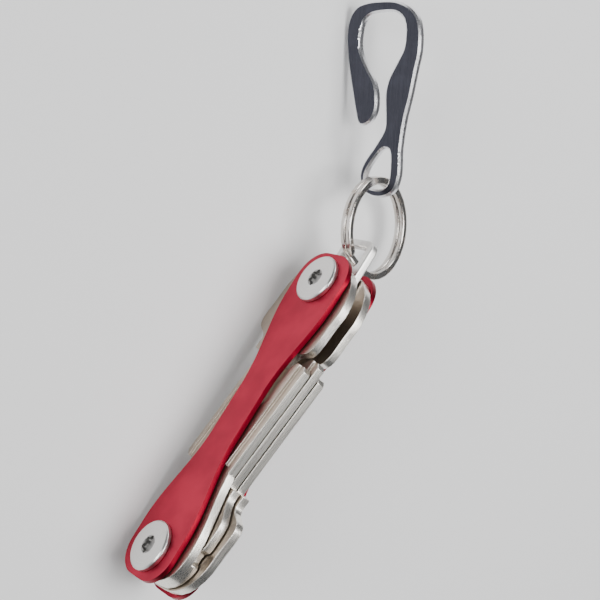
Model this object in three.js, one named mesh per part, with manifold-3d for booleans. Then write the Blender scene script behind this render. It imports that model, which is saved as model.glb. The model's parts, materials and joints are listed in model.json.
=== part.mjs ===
// A slim key organiser: two dog-bone plates on two screw posts hold five house keys and a
// loop piece in three layers, and a split ring joins the loop piece to a flat belt hook.
// Millimetres, +Z up. The organiser is modelled lying flat (x along the plates, z out of the
// front plate) and then stood on its long edge, as it rests on a table.
import * as THREE from 'three';
import { mergeVertices } from 'three/addons/utils/BufferGeometryUtils.js';
import Module from 'manifold-3d';

const wasm = await Module();
wasm.setup();

// ---- driving dimensions ----
const POST_SPACING = 68;
const PLATE = { thickness: 1.2, halfLength: 41, halfWidth: 8.9, waistHalf: 4.55, cornerRadius: 6.6 };
const WAIST = { straightEnd: 6, flareEnd: 30 };
const POST = { radius: 2.5, boreRadius: 1.5, boreDepth: 6, frontInset: 0.5 };
const HEAD = { radius: 5.75, height: 1.3, bevel: 0.4 };
const SCREW = { shankRadius: 1.2, shankLength: 4.6, socketRadius: 2.1, socketDepth: 0.9 };
const SOCKET = { lobes: 6, points: 36, meanRadius: 0.86, lobeHeight: 0.14 };
const WASHER = { thickness: 0.2, outerRadius: 4.6, innerRadius: 2.8 };
const KEY = { thickness: 2, bladeHalf: 4.2, holeRadius: 3.2 };
const GROOVE = { width: 1.7, depth: 0.6, frontY: -2.2, rearY: -0.3, overrun: 2 };
const TIP = { chamfer: 0.9, noseY: -0.4, slope: 1.4 };
const BITTING = { first: 23.5, pitch: 3.9, flat: 1.1, slope: 1.3 };
const LAYER_GAP = 0.3;
const SEAT_GAP = 0.05;
const LOOP = { farEnd: 13.7, halfWidth: 5.6, bar: 1.9, holeStart: 6, corner: 2.6, bevel: 0.25, turn: 0 };
const BOSS = { radius: 5.2, shoulderX: 2, bulge: 0.6 };
const WINDOW = { nearCorner: 2.4, farCorner: 1 };
const RING = { outerRadius: 12, wireWidth: 1.7, wireHeight: 1.25, turnGap: 0.12, edgeCut: 0.22, overlap: 24 };
const RING_STEP = { start: 1.6, end: 0.3 };
const HOOK = { thickness: 2, bevel: 0.45, outlineSteps: 168, eyeSteps: 48 };
const FLOOR_TILT = -2.67;
const HOLE_CLEARANCE = 0.3;
const CURVE_STEPS = { arc: 8, flare: 16, bow: 22, lathe: 32, ring: 96 };

const LAYER_PITCH = KEY.thickness + LAYER_GAP;
const LAYERS = 3;
const STACK = LAYERS * KEY.thickness + (LAYERS + 1) * LAYER_GAP;
const REAR_FACE = -(2 * PLATE.thickness + STACK);
const layerBottom = (layer) => -(PLATE.thickness + layer * LAYER_PITCH);
const LOOP_POST = POST_SPACING / 2;
const FAR_POST = -POST_SPACING / 2;
const radians = THREE.MathUtils.degToRad;

// ---- materials ----
const finish = (color, roughness, metalness) => () =>
  new THREE.MeshStandardMaterial({ color, roughness, metalness });
const redAnodised = finish(0xb3324a, 0.42, 0.85);
const satinSteel = finish(0xc9cacb, 0.3, 0.95);
const nickelSilver = finish(0xd4d1c8, 0.28, 0.95);
const ringNickel = finish(0xcfcac2, 0.16, 1);
const darkSteel = finish(0x55565a, 0.25, 1);
const nylon = finish(0xe6e4dc, 0.6, 0);

// ---- helpers ----
function solidOf(geometry) {
  const bare = geometry.index ? geometry.toNonIndexed() : geometry.clone();
  bare.deleteAttribute('normal');
  bare.deleteAttribute('uv');
  const merged = mergeVertices(bare, 1e-4);
  return new wasm.Manifold(new wasm.Mesh({
    numProp: 3,
    vertProperties: new Float32Array(merged.attributes.position.array),
    triVerts: new Uint32Array(merged.index.array),
  }));
}

function geometryOf(solid) {
  const mesh = solid.getMesh();
  const geometry = new THREE.BufferGeometry();
  geometry.setAttribute('position', new THREE.BufferAttribute(mesh.vertProperties, 3));
  geometry.setIndex(new THREE.BufferAttribute(mesh.triVerts, 1));
  return geometry;
}

function piece(name, geometry, material) {
  const mesh = new THREE.Mesh(geometry, material());
  mesh.name = name;
  return mesh;
}

function extrude(shape, depth, bevel = 0) {
  const geometry = new THREE.ExtrudeGeometry(shape, {
    depth: depth - 2 * bevel,
    bevelEnabled: bevel > 0,
    bevelThickness: bevel,
    bevelSize: bevel,
    bevelOffset: -bevel,
    bevelSegments: 1,
    curveSegments: CURVE_STEPS.arc,
  });
  return geometry.translate(0, 0, bevel);
}

// Outlines run anticlockwise and holes clockwise.
function outlineShape(points) {
  return new THREE.Shape(THREE.ShapeUtils.isClockWise(points) ? points.reverse() : points);
}

function roundHole(x, y, radius) {
  return new THREE.Path().absarc(x, y, radius, 0, 2 * Math.PI, true);
}

// A closed outline from points on its upper side, mirrored about the x axis.
function mirroredOutline(upper) {
  const lower = upper.map((p) => new THREE.Vector2(p.x, -p.y)).reverse();
  return [...upper, ...lower].filter((p, i, all) => i === 0 || p.distanceTo(all[i - 1]) > 1e-6);
}

// ---- plates ----
function plateShape() {
  const cornerX = PLATE.halfLength - PLATE.cornerRadius;
  const cornerY = PLATE.halfWidth - PLATE.cornerRadius;
  const flare = [];
  for (let i = 0; i <= CURVE_STEPS.flare; i += 1) {
    const along = i / CURVE_STEPS.flare;
    const x = WAIST.straightEnd + along * (WAIST.flareEnd - WAIST.straightEnd);
    const widening = (1 - Math.cos(Math.PI * along)) / 2;
    flare.push(new THREE.Vector2(x, PLATE.waistHalf + widening * (PLATE.halfWidth - PLATE.waistHalf)));
  }
  const side = [...flare.map((p) => new THREE.Vector2(-p.x, p.y)).reverse(), ...flare];
  const corner = (sign) => new THREE.Path()
    .absarc(sign * cornerX, cornerY, PLATE.cornerRadius, Math.PI / 2, sign > 0 ? 0 : Math.PI, sign > 0)
    .getPoints(CURVE_STEPS.arc);
  const upper = [...corner(-1).reverse(), ...side, ...corner(1)];
  const shape = outlineShape(mirroredOutline(upper));
  for (const x of [LOOP_POST, FAR_POST]) {
    shape.holes.push(roundHole(x, 0, POST.radius + HOLE_CLEARANCE));
  }
  return shape;
}

function plates() {
  const group = new THREE.Group();
  const front = piece('front_plate', extrude(plateShape(), PLATE.thickness), redAnodised);
  front.position.z = -PLATE.thickness;
  const rear = piece('rear_plate', extrude(plateShape(), PLATE.thickness), redAnodised);
  rear.position.z = REAR_FACE;
  group.add(front, rear);
  return group;
}

// ---- posts and screws ----
function discProfile(inner, foot, neckRadius, neckEnd) {
  const { radius, height, bevel } = HEAD;
  return [
    [inner, neckEnd], [neckRadius, neckEnd], [neckRadius, foot], [radius, foot],
    [radius, foot + height - bevel], [radius - bevel, foot + height],
  ];
}

function lathe(profile, segments = CURVE_STEPS.lathe) {
  return new THREE.LatheGeometry(profile.map(([r, z]) => new THREE.Vector2(r, z)), segments)
    .rotateX(Math.PI / 2);
}

// A socket with six rounded lobes, as a star key needs.
function socketShape() {
  const points = [];
  for (let i = 0; i < SOCKET.points; i += 1) {
    const angle = (2 * Math.PI * i) / SOCKET.points;
    const lobe = SOCKET.meanRadius + SOCKET.lobeHeight * Math.cos(SOCKET.lobes * angle);
    const radius = SCREW.socketRadius * lobe;
    points.push(new THREE.Vector2(radius * Math.cos(angle), radius * Math.sin(angle)));
  }
  return new THREE.Shape(points);
}

function screw(name) {
  const turned = lathe([
    ...discProfile(0, SEAT_GAP, SCREW.shankRadius, SEAT_GAP - SCREW.shankLength),
    [0, SEAT_GAP + HEAD.height],
  ]);
  const socket = extrude(socketShape(), 2 * SCREW.socketDepth)
    .translate(0, 0, SEAT_GAP + HEAD.height - SCREW.socketDepth);
  return piece(name, geometryOf(solidOf(turned).subtract(solidOf(socket))), satinSteel);
}

// The threaded post: a flat head behind the rear plate and a barrel through the whole stack.
function post(name) {
  const barrelLength = -REAR_FACE - POST.frontInset;
  const boreEnd = barrelLength - POST.boreDepth;
  const profile = [
    [0, -HEAD.height - SEAT_GAP], [HEAD.radius - HEAD.bevel, -HEAD.height - SEAT_GAP],
    [HEAD.radius, HEAD.bevel - HEAD.height - SEAT_GAP], [HEAD.radius, -SEAT_GAP],
    [POST.radius, -SEAT_GAP], [POST.radius, barrelLength], [POST.boreRadius, barrelLength],
    [POST.boreRadius, boreEnd], [0, boreEnd],
  ];
  const mesh = piece(name, lathe(profile), satinSteel);
  mesh.position.z = REAR_FACE;
  return mesh;
}

function washer(name, index) {
  const shape = new THREE.Shape().absarc(0, 0, WASHER.outerRadius, 0, 2 * Math.PI);
  shape.holes.push(roundHole(0, 0, WASHER.innerRadius));
  const mesh = piece(name, extrude(shape, WASHER.thickness), nylon);
  mesh.position.z = layerBottom(index) - (LAYER_GAP + WASHER.thickness) / 2;
  return mesh;
}

// Everything that sits on one post and doesn't turn.
function postGroup(end, x) {
  const group = new THREE.Group();
  group.position.x = x;
  group.add(screw(`front_screw_${end}_end`), post(`rear_post_${end}_end`));
  for (let index = 0; index <= LAYERS; index += 1) {
    group.add(washer(`washer_${end}_end_${index + 1}`, index));
  }
  return group;
}

// ---- keys ----
// Half of each bow, from the blade's shoulder round to the end behind the post hole. A key's
// own frame has the post at the origin and the blade along +x, its cut edge on the +y side.
const BOWS = {
  square: [[20, 7.2], [17.4, 7.3], [16.4, 8], [15.8, 9.6], [14.9, 11.2], [13.2, 12], [8, 12],
    [3, 12], [-1.7, 10.1], [-4.9, 6.3], [-6.4, 0]],
  tapered: [[22, 4.4], [18, 5.7], [13, 7.9], [8, 9.8], [3, 10.7], [-1.4, 9.8], [-4.6, 6.2], [-6.2, 0]],
  round: [[20, 6.2], [17.8, 6.4], [15.9, 7.6], [13.4, 9.6], [9.5, 10.2], [6.6, 10.2], [5.7, 9.1],
    [3.5, 9.1], [2.6, 10], [-1.6, 9], [-4.8, 5.6], [-6.2, 0]],
};

function bladeEdge(length, cuts) {
  const half = KEY.bladeHalf;
  const points = [[length, TIP.chamfer - half], [length, TIP.noseY], [length - TIP.slope, TIP.chamfer]];
  [...cuts].reverse().forEach((depth, i) => {
    const centre = BITTING.first + BITTING.pitch * (cuts.length - 1 - i);
    const level = half - depth;
    points.push([centre + BITTING.flat / 2, level], [centre - BITTING.flat / 2, level]);
    if (i < cuts.length - 1) {
      points.push([centre - BITTING.pitch / 2, Math.min(half, level + BITTING.slope)]);
    }
  });
  points.push([BITTING.first - BITTING.flat / 2 - cuts[0], half]);
  return points.map(([x, y]) => new THREE.Vector2(x, y));
}

function keyShape(bowName, length, cuts) {
  const bow = BOWS[bowName].map(([x, y]) => new THREE.Vector3(x, y, 0));
  const side = new THREE.CatmullRomCurve3(bow, false, 'centripetal').getPoints(CURVE_STEPS.bow);
  const upper = side.map((p) => new THREE.Vector2(p.x, p.y));
  const lower = upper.slice(0, -1).reverse().map((p) => new THREE.Vector2(p.x, -p.y));
  const backEdge = [[upper[0].x, -KEY.bladeHalf], [length - TIP.chamfer, -KEY.bladeHalf]]
    .map(([x, y]) => new THREE.Vector2(x, y));
  const cutEdge = [...bladeEdge(length, cuts), new THREE.Vector2(upper[0].x, KEY.bladeHalf)];
  const shape = outlineShape([...upper, ...lower, ...backEdge, ...cutEdge]);
  shape.holes.push(roundHole(0, 0, KEY.holeRadius));
  return shape;
}

// A key blank with a milled groove along each face of its blade.
function key(name, { bow, length, cuts, layer, angle }) {
  let solid = solidOf(extrude(keyShape(bow, length, cuts), KEY.thickness));
  const start = BOWS[bow][0][0] + 1;
  const run = length + GROOVE.overrun - start;
  const places = [[GROOVE.frontY, KEY.thickness - GROOVE.depth / 2], [GROOVE.rearY, GROOVE.depth / 2]];
  for (const [y, z] of places) {
    const groove = new THREE.BoxGeometry(run, GROOVE.width, GROOVE.depth + 0.001)
      .translate(start + run / 2, y, z);
    solid = solid.subtract(solidOf(groove));
  }
  const mesh = piece(name, geometryOf(solid), nickelSilver);
  mesh.rotation.z = radians(angle);
  mesh.position.z = layerBottom(layer) - LAYER_GAP - KEY.thickness;
  return mesh;
}

const LOOP_END_KEYS = [
  { bow: 'square', length: 48, cuts: [1.2, 2.4, 1.6, 2.8, 2], layer: 0, angle: 171.8 },
  { bow: 'square', length: 46.5, cuts: [2, 1, 2.6, 1.4, 2.2], layer: 2, angle: 173 },
];
const FAR_END_KEYS = [
  { bow: 'tapered', length: 49.5, cuts: [1.4, 2.6, 1, 2.2, 3.2], layer: 0, angle: -8.8 },
  { bow: 'round', length: 52, cuts: [2.2, 1.2, 2.8, 2, 2.6, 1.4], layer: 1, angle: -8.8 },
  { bow: 'square', length: 49.5, cuts: [1, 2.2, 1.4, 2.8, 3.2], layer: 2, angle: -8.8 },
];

function keys(end, x, specs) {
  const group = new THREE.Group();
  group.position.x = x;
  specs.forEach((spec, i) => group.add(key(`key_${end}_end_${i + 1}`, spec)));
  return group;
}

// ---- loop piece: a flat stirrup that turns on the post ----
function loopPiece() {
  const { farEnd, halfWidth, bar, holeStart, corner } = LOOP;
  const shape = new THREE.Shape();
  shape.moveTo(farEnd - corner, halfWidth);
  shape.lineTo(BOSS.shoulderX, halfWidth);
  shape.quadraticCurveTo(-BOSS.radius * BOSS.bulge, BOSS.radius + BOSS.bulge, -BOSS.radius, 0);
  shape.quadraticCurveTo(-BOSS.radius * BOSS.bulge, -BOSS.radius - BOSS.bulge, BOSS.shoulderX, -halfWidth);
  shape.lineTo(farEnd - corner, -halfWidth);
  shape.quadraticCurveTo(farEnd, -halfWidth, farEnd, corner - halfWidth);
  shape.lineTo(farEnd, halfWidth - corner);
  shape.quadraticCurveTo(farEnd, halfWidth, farEnd - corner, halfWidth);
  shape.holes.push(roundHole(0, 0, POST.radius + HOLE_CLEARANCE));
  const inner = halfWidth - bar;
  const innerEnd = farEnd - bar;
  const { nearCorner, farCorner } = WINDOW;
  const inside = new THREE.Path();
  inside.moveTo(holeStart, 0);
  inside.quadraticCurveTo(holeStart, inner, holeStart + nearCorner, inner);
  inside.lineTo(innerEnd - farCorner, inner);
  inside.quadraticCurveTo(innerEnd, inner, innerEnd, inner - farCorner);
  inside.lineTo(innerEnd, farCorner - inner);
  inside.quadraticCurveTo(innerEnd, -inner, innerEnd - farCorner, -inner);
  inside.lineTo(holeStart + nearCorner, -inner);
  inside.quadraticCurveTo(holeStart, -inner, holeStart, 0);
  shape.holes.push(inside);
  const mesh = piece('loop_piece', extrude(shape, KEY.thickness, LOOP.bevel), satinSteel);
  mesh.rotation.z = radians(LOOP.turn);
  mesh.position.set(LOOP_POST, 0, layerBottom(1) - LAYER_GAP - KEY.thickness);
  return mesh;
}

// ---- split ring: flat wire in two turns, stepping from one level to the other at the split ----
class SplitCoil extends THREE.Curve {
  getPoint(t, target = new THREE.Vector3()) {
    const total = 4 * Math.PI - radians(RING.overlap);
    const angle = t * total;
    const ramp = radians(RING.overlap);
    const level = (RING.wireHeight + RING.turnGap) / 2;
    const turn = 2 * Math.PI;
    const from = turn - RING_STEP.start * ramp;
    const step = THREE.MathUtils.smoothstep(angle, from, turn - RING_STEP.end * ramp);
    const radius = RING.outerRadius - RING.wireWidth / 2;
    return target.set(radius * Math.cos(angle), radius * Math.sin(angle), level * (2 * step - 1));
  }
}

// Sweeps a small bevelled rectangle round the coil, square to it at every step.
function coilGeometry(steps) {
  const coil = new SplitCoil();
  const halfW = RING.wireWidth / 2;
  const halfH = RING.wireHeight / 2;
  const cut = RING.edgeCut;
  const section = [
    [halfW - cut, -halfH], [halfW, cut - halfH], [halfW, halfH - cut], [halfW - cut, halfH],
    [cut - halfW, halfH], [-halfW, halfH - cut], [-halfW, cut - halfH], [cut - halfW, -halfH],
  ];
  const sides = section.length;
  const positions = [];
  for (let i = 0; i <= steps; i += 1) {
    const centre = coil.getPoint(i / steps);
    const outward = new THREE.Vector2(centre.x, centre.y).normalize();
    for (const [w, h] of section) {
      positions.push(centre.x + w * outward.x, centre.y + w * outward.y, centre.z + h);
    }
  }
  const index = [];
  for (let i = 0; i < steps; i += 1) {
    for (let s = 0; s < sides; s += 1) {
      const a = i * sides + s;
      const b = i * sides + ((s + 1) % sides);
      index.push(a, a + sides, b, b, a + sides, b + sides);
    }
  }
  const last = steps * sides;
  for (let s = 1; s < sides - 1; s += 1) {
    index.push(0, s, s + 1, last, last + s + 1, last + s);
  }
  const geometry = new THREE.BufferGeometry();
  geometry.setAttribute('position', new THREE.Float32BufferAttribute(positions, 3));
  geometry.setIndex(index);
  return geometry;
}

// ---- belt hook: a flat plate with a crook, a tapered stem and an eye for the ring ----
// Its own frame has the ring's wire at the origin, +y towards the crook and +x to the stem side.
const HOOK_OUTLINE = [
  [-3.1, 13.3], [-4.4, 13.6], [-5, 14.9], [-6.6, 21.6], [-8.2, 29.4], [-8.6, 35], [-7.7, 38.6],
  [-5.8, 40.7], [-2.8, 41.5], [1.3, 41.6], [5, 41.2], [8.6, 39.5], [10.6, 37.3], [11.4, 34.6],
  [11.5, 29.8], [10.7, 26], [9.6, 20.5], [8.1, 14.2], [7.3, 8.2], [7.1, 1.4], [5.5, -1.9],
  [1.8, -3.2], [-2.2, -2], [-3.6, 1.4], [-2.9, 4.2], [-0.1, 8.1], [2.5, 11.8], [2.9, 13.4],
  [2.7, 21.2], [3.5, 24], [5.5, 27.5], [7.2, 30.7], [7.4, 35.6], [6.7, 37.4], [4.9, 38.7], [1.3, 39],
  [-2.3, 38.5], [-4.1, 37], [-4.7, 34.9], [-4.7, 30.8], [-2.4, 26.2], [-0.5, 23.2], [0.3, 20.2],
  [0.2, 16.8], [-1.2, 14.3],
];
const HOOK_EYE = [
  [3.2, 8.2], [4.2, 7.9], [4.5, 6.9], [4.5, 1.4], [3.6, -0.6], [1.6, -1.3], [-1.2, -0.6], [-2.1, 1.2],
  [-1.5, 3.3], [1.9, 7.5],
];
const HOOK_PIVOT = new THREE.Vector2(0.9, 0.9);

function smoothLoop(points, steps) {
  const curve = new THREE.CatmullRomCurve3(
    points.map(([x, y]) => new THREE.Vector3(x - HOOK_PIVOT.x, y - HOOK_PIVOT.y, 0)), true, 'centripetal');
  return curve.getSpacedPoints(steps).slice(0, -1).map((p) => new THREE.Vector2(p.x, p.y));
}

function hookShape() {
  const shape = outlineShape(smoothLoop(HOOK_OUTLINE, HOOK.outlineSteps));
  shape.holes.push(new THREE.Path(smoothLoop(HOOK_EYE, HOOK.eyeSteps)));
  return shape;
}

// ---- assembly ----
// The ring hangs in the loop piece and leans, and the hook hangs on the ring's far side.
const RING_NORMAL = new THREE.Vector3(0.207, -0.942, -0.264).normalize();
const RING_CENTRE = new THREE.Vector3(53.5, 5.1, -8.8);
const RING_REACH = new THREE.Vector3(0.833, 0.313, -0.456);
const SPLIT_TURN = -150;
const HOOK_RING_TURN = 63;
const HOOK_SWING = 1.9;

function ringAndHook() {
  const meanRadius = RING.outerRadius - RING.wireWidth / 2;
  const across = RING_REACH.clone().projectOnPlane(RING_NORMAL).normalize();
  const side = new THREE.Vector3().crossVectors(RING_NORMAL, across);
  const group = new THREE.Group();
  group.position.copy(RING_CENTRE);
  group.quaternion.setFromRotationMatrix(new THREE.Matrix4().makeBasis(across, side, RING_NORMAL));
  const ring = piece('split_ring', coilGeometry(CURVE_STEPS.ring), ringNickel);
  ring.rotation.z = radians(SPLIT_TURN);
  // In the ring's frame the hook's plate is square to the wire, so its normal is the tangent.
  const carrier = new THREE.Group();
  carrier.rotation.z = radians(HOOK_RING_TURN);
  const hook = piece('hook', extrude(hookShape(), HOOK.thickness, HOOK.bevel), darkSteel);
  hook.geometry.translate(0, 0, -HOOK.thickness / 2);
  const outward = new THREE.Vector3(1, 0, 0);
  const along = new THREE.Vector3(0, 1, 0);
  const wireAxis = new THREE.Vector3(0, 0, 1);
  const plate = new THREE.Group();
  plate.quaternion.setFromRotationMatrix(new THREE.Matrix4().makeBasis(wireAxis, outward, along));
  plate.position.x = meanRadius;
  hook.rotation.z = radians(HOOK_SWING);
  plate.add(hook);
  carrier.add(plate);
  group.add(ring, carrier);
  return group;
}

const organiser = new THREE.Group();
organiser.add(
  plates(),
  postGroup('loop', LOOP_POST),
  postGroup('far', FAR_POST),
  keys('loop', LOOP_POST, LOOP_END_KEYS),
  keys('far', FAR_POST, FAR_END_KEYS),
  loopPiece(),
  ringAndHook(),
);
organiser.rotation.x = -Math.PI / 2;

const standing = new THREE.Group();
standing.rotation.y = radians(FLOOR_TILT);
standing.add(organiser);

const group = new THREE.Group();
group.add(standing);
group.updateMatrixWorld(true);
const box = new THREE.Box3().setFromObject(group, true);
const middle = box.getCenter(new THREE.Vector3());
standing.position.set(-middle.x, -middle.y, -box.min.z);
group.updateMatrixWorld(true);

export default group;
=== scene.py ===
"""A key organiser with fanned house keys, a split ring and a flat belt hook.

The fixed frame gives every place and size. Each operator shapes one kind of piece from it and
gives it a finish; main() runs them in order.
"""

import json
import math

import bpy
from mathutils import Matrix, Vector


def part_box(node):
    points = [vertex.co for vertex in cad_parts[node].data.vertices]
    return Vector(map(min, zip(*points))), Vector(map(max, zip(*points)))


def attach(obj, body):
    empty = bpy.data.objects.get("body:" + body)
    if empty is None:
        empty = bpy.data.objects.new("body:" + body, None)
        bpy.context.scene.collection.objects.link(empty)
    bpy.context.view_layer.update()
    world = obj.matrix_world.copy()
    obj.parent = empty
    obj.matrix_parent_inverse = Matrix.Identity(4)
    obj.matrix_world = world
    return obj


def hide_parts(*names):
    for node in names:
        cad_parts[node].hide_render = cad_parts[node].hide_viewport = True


bl_info = {
    "name": "Key Organiser",
    "version": (1, 0, 0),
    "blender": (4, 5, 0),
    "location": "View3D > Sidebar > Organiser",
    "description": "Builds a key organiser, its keys, ring and hook around a fixed frame",
    "category": "Add Mesh",
}

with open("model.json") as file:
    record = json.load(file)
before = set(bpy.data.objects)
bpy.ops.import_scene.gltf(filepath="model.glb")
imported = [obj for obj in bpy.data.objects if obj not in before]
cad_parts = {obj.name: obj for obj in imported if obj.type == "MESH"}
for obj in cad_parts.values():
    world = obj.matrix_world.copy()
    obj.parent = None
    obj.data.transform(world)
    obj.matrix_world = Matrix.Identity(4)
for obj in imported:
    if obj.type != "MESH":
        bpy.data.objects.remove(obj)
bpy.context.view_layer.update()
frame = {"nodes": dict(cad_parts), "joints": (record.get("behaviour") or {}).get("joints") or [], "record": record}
JOINTS = {joint["name"]: joint for joint in frame["joints"]}
BODY_OF = {
    node: body
    for body, nodes in frame["record"]["behaviour"]["bodies"].items()
    for node in nodes
}

MM = 0.001
LOOP_POST = Vector(JOINTS["loop_swing"]["pos_m"])
FAR_POST = Vector(JOINTS["open_far_end_1"]["pos_m"])
ALONG = (LOOP_POST - FAR_POST).normalized()
OUT = Vector(JOINTS["loop_swing"]["axis"])
PLATE_CENTRE = (LOOP_POST + FAR_POST) / 2
POSTS = {"loop": LOOP_POST, "far": FAR_POST}
PLATES = ("front_plate", "rear_plate")
# How far each key's blade is turned from the line between the posts, in degrees.
KEY_FAN = {
    "key_loop_end_1": 171.8,
    "key_loop_end_2": 173.0,
    "key_far_end_1": -8.8,
    "key_far_end_2": -8.8,
    "key_far_end_3": -8.8,
}
# A face counts as flat when its normal and the piece's own differ by less than this cosine.
FLAT = 0.9995
MERGE_DISTANCE = 0.002 * MM
COPLANAR_ANGLE = math.radians(0.6)
SMOOTH_ANGLE = math.radians(40)
WASHER_ROUND = 0.04 * MM
# Inner and outer radius of the painted shade disc in the middle of each screw and post.
SOCKET_SHADE_EDGE = (1.95 * MM, 2.2 * MM)
# Where the painted groove shade runs across a key's blade, and where it starts, in millimetres; it stands for the
# shade in a milled channel.
GROOVE_SHADE_BAND = {"low": -3.1, "high": -1.3, "soft": 0.12}
GROOVE_SHADE_START = (20.0, 21.0)
WIRE_CREASE = 0.42
WIRE_DIRECTION = 0.8
FLOOR_WIDTH = 6
# Name, place from the middle of the front plate, width and power of each light.
SOFT_BOXES = (
    ("overhead box", (0.12, -0.10, 0.62), 0.42, 6.0),
    ("front box", (-0.25, 0.65, 0.34), 0.36, 3.0),
    ("side box", (0.62, 0.10, 0.28), 0.25, 1.4),
)
WORLD_COLOUR = (0.62, 0.64, 0.68, 1)
WORLD_STRENGTH = 0.16
CLIP_START = 0.01
HOOK_PIVOT = Vector(JOINTS["hook_swing"]["pos_m"])
HOOK_OUT = Vector(JOINTS["hook_swing"]["axis"])
RING_LOW, RING_HIGH = (Vector(corner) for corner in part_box("split_ring"))
RING_CENTRE = (RING_LOW + RING_HIGH) / 2
RING_NORMAL = (
    (Vector(JOINTS["ring_swing"]["pos_m"]) - RING_CENTRE)
    .cross(Vector(JOINTS["ring_swing"]["axis"]))
    .normalized()
)


# ---- places ----


def axes(along, out):
    """Rotation whose X runs along a piece and whose Z stands out of its flat face."""
    flat = (along - along.dot(out) * out).normalized()
    return Matrix((flat, out.cross(flat), out)).transposed()


def key_turn(node):
    """Rotation of a key: X along its blade, Z out of the front plate."""
    fan = Matrix.Rotation(math.radians(KEY_FAN[node]), 3, OUT)
    return axes(fan @ ALONG, OUT)


def key_pivot(node):
    return LOOP_POST if "loop" in node else FAR_POST


def hook_turn():
    """Rotation of the hook: X from the ring towards the crook, Z out of its flat face."""
    return axes(HOOK_PIVOT - RING_CENTRE, HOOK_OUT)


# ---- shader expressions ----


class Value:
    """A socket in a finish; arithmetic on it adds Math nodes."""

    def __init__(self, finish, socket):
        self.finish = finish
        self.socket = socket

    def math(self, operation, *others):
        settings = {"operation": operation}
        inputs = dict(enumerate((self, *others)))
        return self.finish.add("ShaderNodeMath", settings, inputs)

    def flipped(self, operation, other):
        settings = {"operation": operation}
        return self.finish.add("ShaderNodeMath", settings, {0: other, 1: self})

    def __add__(self, other):
        return self.math("ADD", other)

    def __radd__(self, other):
        return self.flipped("ADD", other)

    def __sub__(self, other):
        return self.math("SUBTRACT", other)

    def __rsub__(self, other):
        return self.flipped("SUBTRACT", other)

    def __mul__(self, other):
        return self.math("MULTIPLY", other)

    def __rmul__(self, other):
        return self.flipped("MULTIPLY", other)

    def __truediv__(self, other):
        return self.math("DIVIDE", other)

    def __pow__(self, other):
        return self.math("POWER", other)

    def __abs__(self):
        return self.math("ABSOLUTE")

    def step(self, low, high):
        """0 below low, 1 above high, and a smooth rise between them."""
        settings = {"interpolation_type": "SMOOTHSTEP"}
        inputs = {"Value": self, "From Min": low, "From Max": high}
        return self.finish.add("ShaderNodeMapRange", settings, inputs)

    def band(self, low, high, soft):
        """1 between low and high, falling to 0 over soft on each side."""
        return self.step(low - soft, low) * (1 - self.step(high, high + soft))


class Finish:
    """A material built from expressions, with a Principled shader at its end."""

    def __init__(self, name, metallic=1.0, **constants):
        self.material = bpy.data.materials.new(name)
        self.material.use_nodes = True
        self.tree = self.material.node_tree
        self.tree.nodes.clear()
        self.shader = self.node("ShaderNodeBsdfPrincipled", {}, {"Metallic": metallic})
        for socket, value in constants.items():
            self.shader.inputs[socket.replace("_", " ")].default_value = value
        self.node("ShaderNodeOutputMaterial", {}, {"Surface": self.shader.outputs["BSDF"]})

    def node(self, kind, settings, inputs):
        """Adds a node, sets it up first and then fills its sockets with values or links."""
        made = self.tree.nodes.new(kind)
        for key, value in settings.items():
            setattr(made, key, value)
        for key, value in inputs.items():
            source = value.socket if isinstance(value, Value) else value
            if isinstance(source, bpy.types.NodeSocket):
                self.tree.links.new(source, made.inputs[key])
            else:
                made.inputs[key].default_value = source
        return made

    def add(self, kind, settings, inputs, output=0):
        return Value(self, self.node(kind, settings, inputs).outputs[output])

    def place(self, centre=(0, 0, 0), turn=None, size=(MM, MM, MM)):
        """Object coordinates seen from centre, turned, and counted in units of size."""
        rotation = turn.to_euler() if turn else (0, 0, 0)
        coordinates = self.add("ShaderNodeTexCoord", {}, {}, "Object")
        inputs = {"Vector": coordinates, "Location": centre, "Rotation": rotation, "Scale": size}
        return self.add("ShaderNodeMapping", {"vector_type": "TEXTURE"}, inputs)

    def parts(self, vector):
        split = self.node("ShaderNodeSeparateXYZ", {}, {"Vector": vector})
        return [Value(self, output) for output in split.outputs]

    def noise(self, vector, detail=2.0):
        inputs = {"Vector": vector, "Scale": 1.0, "Detail": detail}
        return self.add("ShaderNodeTexNoise", {}, inputs)

    def rings(self, radius, width):
        """Random fine rings round an axis, each about width across."""
        inputs = {"W": radius / width, "Scale": 1.0, "Detail": 3.0}
        return self.add("ShaderNodeTexNoise", {"noise_dimensions": "1D"}, inputs)

    def facing(self, direction):
        """1 where the surface faces along or against direction, 0 where it is square to it."""
        normal = self.add("ShaderNodeTexCoord", {}, {}, "Normal")
        inputs = {0: normal, 1: direction}
        return abs(self.add("ShaderNodeVectorMath", {"operation": "DOT_PRODUCT"}, inputs, "Value"))

    def mix(self, factor, first, second):
        inputs = {0: factor, 6: first, 7: second}
        settings = {"data_type": "RGBA", "clamp_factor": True}
        return self.add("ShaderNodeMix", settings, inputs, 2)

    def bump(self, height, depth, strength=1.0):
        inputs = {"Height": height, "Distance": depth, "Strength": strength}
        return self.add("ShaderNodeBump", {}, inputs)

    def surface(self, colour=None, roughness=None, normal=None):
        sockets = {"Base Color": colour, "Roughness": roughness, "Normal": normal}
        for name, value in sockets.items():
            if value is not None:
                self.tree.links.new(value.socket, self.shader.inputs[name])
        return self.material


def shade(colour, amount):
    """A colour made lighter or darker by a factor."""
    return (*(min(1.0, channel * amount) for channel in colour[:3]), 1.0)


# ---- finishes ----


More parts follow.
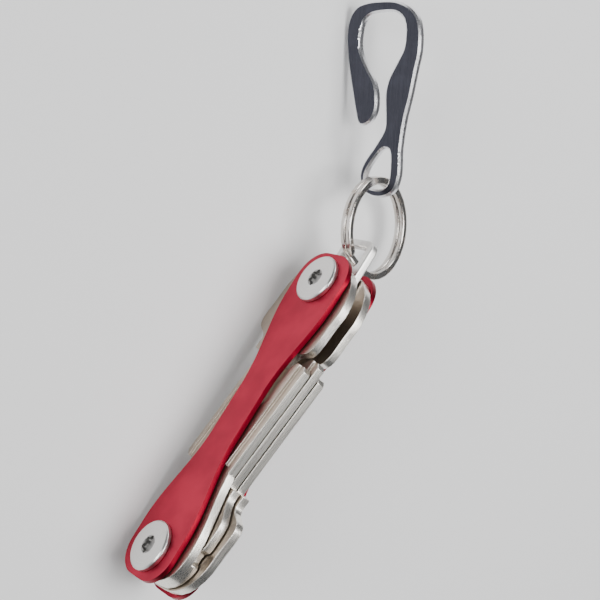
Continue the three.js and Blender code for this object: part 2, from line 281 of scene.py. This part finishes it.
def red_anodised(colours):
    finish = Finish("red anodised", Specular_IOR_Level=0.6)
    turn = axes(ALONG, OUT)
    grain = finish.noise(finish.place(size=(0.09 * MM,) * 3), 2.0)
    cloud = finish.noise(finish.place(size=(9 * MM,) * 3), 3.0)
    drawn = finish.noise(finish.place(turn=turn, size=(14 * MM, 0.16 * MM, 0.16 * MM)), 3.0)
    slanted = turn @ Matrix.Rotation(0.6, 3, "Z")
    marks = finish.noise(finish.place(turn=slanted, size=(5 * MM, 0.09 * MM, 4 * MM)), 1.0)
    marks = marks.step(0.74, 0.8)
    flat = finish.facing(OUT).step(0.6, 0.97)
    colour = finish.mix(
        cloud.step(0.3, 0.7), shade(colours.plate, 0.82), shade(colours.plate, 1.12)
    )
    # Painted shade: the rounded edges and side walls, which do not face out of the plate, are painted a darker
    # red.
    colour = finish.mix((1 - flat) * 0.7, colour, colours.plate_edge_shade)
    colour = finish.mix(marks * 0.2, colour, shade(colours.plate, 2.0))
    roughness = 0.27 + 0.12 * grain + 0.1 * drawn + 0.08 * marks
    height = grain * 0.7 + drawn * 0.5
    return finish.surface(colour, roughness, finish.bump(height, 0.012 * MM, 0.5))


def turned_steel(colours, centre):
    """Steel turned on a lathe: fine rings round the post's axis and a middle painted dark as socket shade, on the
    rear posts too.
    """
    finish = Finish("turned steel")
    place = finish.place(centre, axes(ALONG, OUT), (1, 1, 1))
    x, y, _ = finish.parts(place)
    radius = (x * x + y * y) ** 0.5
    rings = finish.rings(radius, 0.11 * MM)
    cloud = finish.noise(finish.place(size=(3 * MM,) * 3), 3.0)
    # Painted shade: a dark disc in the middle stands for the shade in a screw's socket.
    socket = 1 - radius.step(*SOCKET_SHADE_EDGE)
    colour = finish.mix(rings.step(0.3, 0.75), shade(colours.steel, 0.82), colours.steel)
    colour = finish.mix(cloud.step(0.55, 0.8) * 0.3, colour, shade(colours.steel, 0.7))
    colour = finish.mix(socket * 0.8, colour, shade(colours.steel, 0.25))
    roughness = 0.2 + 0.16 * rings + 0.1 * cloud
    return finish.surface(colour, roughness, finish.bump(rings, 0.02 * MM, 0.6))


def key_metal(colours, node):
    """Worn nickel silver: brushed faces, a painted groove shade along the blade, and edges painted lighter than
    the faces as a highlight.
    """
    finish = Finish("nickel silver " + node)
    turn = key_turn(node)
    along, across, _ = finish.parts(finish.place(key_pivot(node), turn, (MM, MM, MM)))
    brushed = finish.noise(
        finish.place(key_pivot(node), turn, (11 * MM, 0.13 * MM, 0.13 * MM)), 4.0
    )
    cloud = finish.noise(finish.place(size=(4 * MM,) * 3), 4.0)
    pits = finish.noise(finish.place(size=(0.35 * MM,) * 3), 3.0).step(0.68, 0.78)
    flat = finish.facing(OUT).step(0.75, 0.98)
    # Painted shade: a darker band across the blade stands for the shade in a milled groove.
    painted_groove_shade = across.band(**GROOVE_SHADE_BAND) * along.step(*GROOVE_SHADE_START)
    tint = cloud.step(0.35, 0.75) * 0.6 + brushed.step(0.45, 0.7) * 0.35
    face = finish.mix(tint, colours.key_face, shade(colours.key_face, 0.7))
    face = finish.mix(painted_groove_shade * 0.6, face, colours.groove_shade_and_tarnish)
    # Painted highlight: the edges and walls, which do not face out of the plate, take the light edge colour, and
    # the flat faces the darker face colour.
    colour = finish.mix(flat, colours.key_edge_highlight, face)
    colour = finish.mix(pits * 0.3, colour, shade(colours.key_face, 0.5))
    roughness = 0.2 + 0.16 * brushed + 0.14 * cloud * flat
    height = brushed * 0.8 - pits * 0.6
    return finish.surface(colour, roughness, finish.bump(height, 0.02 * MM, 0.5))


def bright_steel(colours, turn):
    """Satin stainless steel, brushed along the piece."""
    finish = Finish("bright steel")
    brushed = finish.noise(finish.place(turn=turn, size=(6 * MM, 0.1 * MM, 0.1 * MM)), 3.0)
    cloud = finish.noise(finish.place(size=(2.5 * MM,) * 3), 3.0)
    tint = brushed.step(0.4, 0.7) * 0.5 + cloud.step(0.5, 0.8) * 0.3
    colour = finish.mix(tint, shade(colours.steel, 1.1), shade(colours.steel, 0.75))
    roughness = 0.26 + 0.16 * brushed + 0.08 * cloud
    return finish.surface(colour, roughness, finish.bump(brushed, 0.012 * MM, 0.5))


def ring_nickel(colours):
    """Polished nickel plate with fine wear scratches and a little tarnish."""
    finish = Finish("ring nickel")
    scratches = finish.noise(finish.place(size=(0.12 * MM, 1.6 * MM, 0.12 * MM)), 4.0)
    tarnish = finish.noise(finish.place(size=(1.8 * MM,) * 3), 4.0)
    colour = finish.mix(
        tarnish.step(0.45, 0.75) * 0.6, colours.ring, shade(colours.groove_shade_and_tarnish, 1.3)
    )
    roughness = 0.17 + 0.14 * scratches + 0.12 * tarnish.step(0.5, 0.8)
    return finish.surface(colour, roughness, finish.bump(scratches, 0.008 * MM, 0.4))


def polished_with_painted_reflection(colours):
    """Polished steel: brushed faces painted dark as a reflection, between bevels painted bright as highlights."""
    finish = Finish("polished steel with painted reflection")
    turn = hook_turn()
    brushed = finish.noise(finish.place(HOOK_PIVOT, turn, (16 * MM, 0.1 * MM, 0.1 * MM)), 4.0)
    cloud = finish.noise(finish.place(size=(5 * MM,) * 3), 3.0)
    slanted = turn @ Matrix.Rotation(0.9, 3, "Z")
    scuffs = finish.noise(finish.place(turn=slanted, size=(3 * MM, 0.07 * MM, 3 * MM)), 1.0)
    scuffs = scuffs.step(0.72, 0.78)
    flat = finish.facing(HOOK_OUT).step(0.93, 0.995)
    tint = brushed.step(0.35, 0.7) * 0.5 + cloud.step(0.4, 0.8) * 0.4
    face = finish.mix(tint, colours.hook_face_dark_reflection, shade(colours.hook_face_dark_reflection, 1.6))
    face = finish.mix(scuffs * 0.4, face, shade(colours.hook_face_dark_reflection, 3.0))
    # Painted reflection and highlight: the flat faces take the near-black face colour, and the bevels and walls
    # take the bright bevel colour.
    colour = finish.mix(flat, colours.hook_bevel_highlight, face)
    roughness = 0.16 + 0.16 * brushed + 0.08 * cloud
    return finish.surface(colour, roughness, finish.bump(brushed, 0.012 * MM, 0.4))


def natural_nylon(colours):
    finish = Finish("natural nylon", 0.0, Subsurface_Weight=0.15, Subsurface_Scale=0.0005)
    grain = finish.noise(finish.place(size=(0.3 * MM,) * 3), 3.0)
    colour = finish.mix(grain, colours.nylon, shade(colours.nylon, 0.85))
    return finish.surface(colour, 0.45 + 0.2 * grain, finish.bump(grain, 0.01 * MM, 0.5))


# ---- shaping ----


def choose(piece):
    """Makes piece the only selected object and the active one."""
    if bpy.context.object and bpy.context.object.mode != "OBJECT":
        bpy.ops.object.mode_set(mode="OBJECT")
    bpy.ops.object.select_all(action="DESELECT")
    piece.select_set(True)
    bpy.context.view_layer.objects.active = piece
    return piece


def clean_copy(node, name, out=OUT):
    """A copy of a frame node with its walls in quads and its flat faces along out made whole."""
    piece = frame["nodes"][node].copy()
    piece.data = piece.data.copy()
    piece.name = name
    piece.data.name = name
    piece.data.materials.clear()
    bpy.context.collection.objects.link(piece)
    choose(piece)
    bpy.ops.object.mode_set(mode="EDIT")
    bpy.ops.mesh.select_all(action="SELECT")
    bpy.ops.mesh.remove_doubles(threshold=MERGE_DISTANCE)
    bpy.ops.mesh.tris_convert_to_quads()
    bpy.ops.mesh.select_all(action="DESELECT")
    bpy.ops.object.mode_set(mode="OBJECT")
    for face in piece.data.polygons:
        face.select = abs(face.normal.dot(out)) > FLAT
    bpy.ops.object.mode_set(mode="EDIT")
    bpy.ops.mesh.select_mode(type="FACE")
    bpy.ops.mesh.dissolve_limited(angle_limit=COPLANAR_ANGLE)
    bpy.ops.object.mode_set(mode="OBJECT")
    return piece


def apply(piece, kind, **settings):
    """Adds a modifier with these settings and applies it."""
    choose(piece)
    modifier = piece.modifiers.new(kind.title(), kind)
    for key, value in settings.items():
        setattr(modifier, key, value)
    bpy.ops.object.modifier_apply(modifier=modifier.name)


def round_edges(piece, width, segments=3, angle=28):
    """Rounds the sharp edges and shades the curved walls smooth."""
    apply(
        piece,
        "BEVEL",
        width=width,
        segments=segments,
        limit_method="ANGLE",
        angle_limit=math.radians(angle),
        use_clamp_overlap=True,
        miter_outer="MITER_ARC",
    )
    smooth_walls(piece)


def smooth_walls(piece):
    """Shades curved walls smooth and keeps the flat faces flat."""
    choose(piece)
    bpy.ops.object.shade_smooth_by_angle(angle=SMOOTH_ANGLE)
    apply(piece, "WEIGHTED_NORMAL", keep_sharp=True, weight=100)


def finish_piece(piece, node, material):
    """Gives the piece its finish and its place in the moving frame."""
    piece.data.materials.clear()
    piece.data.materials.append(material)
    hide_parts(node)
    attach(piece, BODY_OF[node])


# ---- settings ----


def size_property(name, description, default):
    return bpy.props.FloatProperty(
        name=name, description=description, default=default, unit="LENGTH", precision=5
    )


def colour_property(name, description, default):
    return bpy.props.FloatVectorProperty(
        name=name,
        description=description,
        default=(*default, 1.0),
        size=4,
        subtype="COLOR",
        min=0,
        max=1,
    )


class OrganiserSizes(bpy.types.PropertyGroup):
    plate_round: size_property("Plate edge", "Radius of the plates' rounded edges", 0.34 * MM)
    head_round: size_property("Head edge", "Radius on the edges of screws and posts", 0.12 * MM)
    key_round: size_property("Key edge", "Radius on the edges of the keys", 0.14 * MM)
    loop_round: size_property("Loop edge", "Radius on the loop piece's edges", 0.18 * MM)


class OrganiserColours(bpy.types.PropertyGroup):
    plate: colour_property("Plates", "Anodised red of both plates", (0.43, 0.020, 0.050))
    # Painted shade: the darker red that the plates' edges and walls are painted.
    plate_edge_shade: colour_property("Plate edges", "Red of the plates' edges", (0.22, 0.002, 0.014))
    steel: colour_property("Steel", "Screws, posts and loop piece", (0.78, 0.77, 0.75))
    key_face: colour_property("Key faces", "Flat faces of the keys", (0.58, 0.50, 0.42))
    # Painted highlight: the light colour that the keys' edges are painted.
    key_edge_highlight: colour_property("Key edges", "Cut edges of the keys", (0.94, 0.90, 0.83))
    # Painted shade of the keys' milled grooves; a lighter copy of it is the split ring's tarnish.
    groove_shade_and_tarnish: colour_property("Key grooves", "Milled grooves of the keys", (0.36, 0.29, 0.23))
    ring: colour_property("Ring", "Nickel plate of the split ring", (0.66, 0.63, 0.60))
    # Painted reflection: the near-black colour that the hook's flat faces are painted.
    hook_face_dark_reflection: colour_property("Hook faces", "Flat faces of the hook", (0.045, 0.046, 0.058))
    # Painted highlight: the bright colour that the hook's bevels are painted.
    hook_bevel_highlight: colour_property("Hook bevels", "Polished bevels of the hook", (0.86, 0.86, 0.88))
    nylon: colour_property("Washers", "Nylon of the washers", (0.80, 0.79, 0.74))
    floor: colour_property("Floor", "Surface that the organiser stands on", (0.80, 0.80, 0.80))


class OrganiserStage(bpy.types.PropertyGroup):
    azimuth: bpy.props.FloatProperty(
        name="Azimuth",
        description="Direction that the camera looks from",
        default=math.radians(113.94),
        subtype="ANGLE",
    )
    elevation: bpy.props.FloatProperty(
        name="Elevation",
        description="Height of the camera above the horizon",
        default=math.radians(54.47),
        subtype="ANGLE",
    )
    roll: bpy.props.FloatProperty(
        name="Roll",
        description="Turn of the camera about its own line of sight",
        default=math.radians(100.66),
        subtype="ANGLE",
    )
    distance: size_property("Distance", "Camera to the middle of the front plate", 281.5 * MM)
    offset: bpy.props.FloatVectorProperty(
        name="Offset",
        description="Camera's move to the right and up in its own view",
        default=(13.5 * MM, 23.9 * MM),
        size=2,
        subtype="XYZ",
        unit="LENGTH",
    )
    lens: bpy.props.FloatProperty(
        name="Lens", description="Focal length in millimetres", default=78.0
    )
    light: bpy.props.FloatProperty(
        name="Light", description="Brightness of the soft boxes", default=1.0
    )


def settings():
    scene = bpy.context.scene
    return scene.organiser_sizes, scene.organiser_colours


# ---- operators ----


class ORGANISER_OT_plates(bpy.types.Operator):
    """Rounds and anodises the two plates"""

    bl_idname = "organiser.plates"
    bl_label = "Plates"

    def execute(self, context):
        sizes, colours = settings()
        material = red_anodised(colours)
        for node in PLATES:
            piece = clean_copy(node, node + "_anodised")
            round_edges(piece, sizes.plate_round, 4)
            finish_piece(piece, node, material)
        return {"FINISHED"}


class ORGANISER_OT_screws(bpy.types.Operator):
    """Rounds and turns the screws and posts"""

    bl_idname = "organiser.screws"
    bl_label = "Screws and posts"

    def execute(self, context):
        sizes, colours = settings()
        for end, centre in POSTS.items():
            material = turned_steel(colours, centre)
            for node in (f"front_screw_{end}_end", f"rear_post_{end}_end"):
                piece = clean_copy(node, node + "_turned")
                round_edges(piece, sizes.head_round, 2, 25)
                finish_piece(piece, node, material)
        return {"FINISHED"}


class ORGANISER_OT_washers(bpy.types.Operator):
    """Gives the thin washers between the layers their nylon"""

    bl_idname = "organiser.washers"
    bl_label = "Washers"

    def execute(self, context):
        _, colours = settings()
        material = natural_nylon(colours)
        for node in [name for name in BODY_OF if name.startswith("washer")]:
            piece = clean_copy(node, node + "_nylon")
            round_edges(piece, WASHER_ROUND, 2)
            finish_piece(piece, node, material)
        return {"FINISHED"}


class ORGANISER_OT_keys(bpy.types.Operator):
    """Rounds and finishes the five keys"""

    bl_idname = "organiser.keys"
    bl_label = "Keys"

    def execute(self, context):
        sizes, colours = settings()
        for node in KEY_FAN:
            piece = clean_copy(node, node + "_milled")
            round_edges(piece, sizes.key_round, 2, 30)
            finish_piece(piece, node, key_metal(colours, node))
        return {"FINISHED"}


class ORGANISER_OT_loop_piece(bpy.types.Operator):
    """Rounds and brushes the flat loop piece"""

    bl_idname = "organiser.loop_piece"
    bl_label = "Loop piece"

    def execute(self, context):
        sizes, colours = settings()
        piece = clean_copy("loop_piece", "loop_piece_brushed")
        round_edges(piece, sizes.loop_round, 3, 25)
        finish_piece(piece, "loop_piece", bright_steel(colours, axes(ALONG, OUT)))
        return {"FINISHED"}


class ORGANISER_OT_split_ring(bpy.types.Operator):
    """Draws the split ring's flat wire out smooth"""

    bl_idname = "organiser.split_ring"
    bl_label = "Split ring"

    def hold_section(self, piece):
        """Creases the edges along the wire, so that its flat section keeps its size."""
        mesh = piece.data
        for edge in mesh.edges:
            first, second = (mesh.vertices[index].co for index in edge.vertices)
            round_ring = RING_NORMAL.cross((first + second) / 2 - RING_CENTRE).normalized()
            edge.select = abs((second - first).normalized().dot(round_ring)) > WIRE_DIRECTION
        bpy.ops.object.mode_set(mode="EDIT")
        bpy.ops.mesh.select_mode(type="EDGE")
        bpy.ops.transform.edge_crease(value=WIRE_CREASE)
        bpy.ops.object.mode_set(mode="OBJECT")

    def execute(self, context):
        _, colours = settings()
        piece = clean_copy("split_ring", "split_ring_wire")
        self.hold_section(piece)
        apply(piece, "SUBSURF", levels=2, render_levels=2)
        choose(piece)
        bpy.ops.object.shade_smooth()
        finish_piece(piece, "split_ring", ring_nickel(colours))
        return {"FINISHED"}


class ORGANISER_OT_hook(bpy.types.Operator):
    """Smooths and polishes the flat belt hook"""

    bl_idname = "organiser.hook"
    bl_label = "Belt hook"

    def execute(self, context):
        _, colours = settings()
        piece = clean_copy("hook", "hook_polished", HOOK_OUT)
        smooth_walls(piece)
        finish_piece(piece, "hook", polished_with_painted_reflection(colours))
        return {"FINISHED"}


class ORGANISER_OT_stage(bpy.types.Operator):
    """Sets up the pale floor, the soft boxes and the camera"""

    bl_idname = "organiser.stage"
    bl_label = "Stage"

    def soft_box(self, name, place, width, power):
        light = bpy.data.lights.new(name, "AREA")
        light.shape = "SQUARE"
        light.size = width
        light.energy = power
        lamp = bpy.data.objects.new(name, light)
        bpy.context.collection.objects.link(lamp)
        lamp.location = PLATE_CENTRE + Vector(place)
        lamp.rotation_euler = Vector(place).to_track_quat("Z", "Y").to_euler()

    def floor(self, colours):
        bpy.ops.object.select_all(action="DESELECT")
        bpy.ops.mesh.primitive_plane_add(size=FLOOR_WIDTH)
        floor = bpy.context.object
        floor.name = "floor"
        finish = Finish("pale floor", 0.0, Specular_IOR_Level=0.2)
        paper = finish.noise(finish.place(size=(2 * MM,) * 3), 2.0)
        colour = finish.mix(paper, colours.floor, shade(colours.floor, 0.985))
        floor.data.materials.append(finish.surface(colour, 0.7 + 0.1 * paper))

    def camera(self, stage):
        level = Vector((math.cos(stage.azimuth), math.sin(stage.azimuth), 0))
        back = level * math.cos(stage.elevation) + Vector((0, 0, math.sin(stage.elevation)))
        side = Vector((0, 0, 1)).cross(back).normalized()
        over = back.cross(side)
        right = side * math.cos(stage.roll) + over * math.sin(stage.roll)
        up = back.cross(right)
        turn = Matrix((right, up, back)).transposed()
        data = bpy.data.cameras.new("camera")
        data.lens = stage.lens
        data.clip_start = CLIP_START
        camera = bpy.data.objects.new("camera", data)
        bpy.context.collection.objects.link(camera)
        place = PLATE_CENTRE + right * stage.offset[0] + up * stage.offset[1]
        camera.matrix_world = Matrix.Translation(place + back * stage.distance) @ turn.to_4x4()
        bpy.context.scene.camera = camera

    def execute(self, context):
        _, colours = settings()
        stage = context.scene.organiser_stage
        self.floor(colours)
        self.camera(stage)
        for name, place, width, power in SOFT_BOXES:
            self.soft_box(name, place, width, power * stage.light)
        world = context.scene.world or bpy.data.worlds.new("studio")
        context.scene.world = world
        world.use_nodes = True
        background = world.node_tree.nodes["Background"]
        background.inputs["Color"].default_value = WORLD_COLOUR
        background.inputs["Strength"].default_value = WORLD_STRENGTH
        return {"FINISHED"}


class ORGANISER_PT_panel(bpy.types.Panel):
    """Lists the pieces and their settings"""

    bl_label = "Key Organiser"
    bl_idname = "ORGANISER_PT_panel"
    bl_space_type = "VIEW_3D"
    bl_region_type = "UI"
    bl_category = "Organiser"

    def draw(self, context):
        for operator in PIECE_OPERATORS:
            self.layout.operator(operator.bl_idname)
        scene = context.scene
        for group in (scene.organiser_sizes, scene.organiser_colours, scene.organiser_stage):
            box = self.layout.box()
            for name in group.__annotations__:
                box.prop(group, name)


PIECE_OPERATORS = (
    ORGANISER_OT_plates,
    ORGANISER_OT_screws,
    ORGANISER_OT_washers,
    ORGANISER_OT_keys,
    ORGANISER_OT_loop_piece,
    ORGANISER_OT_split_ring,
    ORGANISER_OT_hook,
    ORGANISER_OT_stage,
)
GROUPS = {
    "organiser_sizes": OrganiserSizes,
    "organiser_colours": OrganiserColours,
    "organiser_stage": OrganiserStage,
}


def register():
    for group in GROUPS.values():
        bpy.utils.register_class(group)
    for operator in PIECE_OPERATORS:
        bpy.utils.register_class(operator)
    bpy.utils.register_class(ORGANISER_PT_panel)
    for name, group in GROUPS.items():
        setattr(bpy.types.Scene, name, bpy.props.PointerProperty(type=group))


def unregister():
    for name in GROUPS:
        delattr(bpy.types.Scene, name)
    bpy.utils.unregister_class(ORGANISER_PT_panel)
    for operator in reversed(PIECE_OPERATORS):
        bpy.utils.unregister_class(operator)
    for group in GROUPS.values():
        bpy.utils.unregister_class(group)


def main():
    register()
    bpy.ops.organiser.plates()
    bpy.ops.organiser.screws()
    bpy.ops.organiser.washers()
    bpy.ops.organiser.keys()
    bpy.ops.organiser.loop_piece()
    bpy.ops.organiser.split_ring()
    bpy.ops.organiser.hook()
    bpy.ops.organiser.stage()


if __name__ == "__main__":
    main()
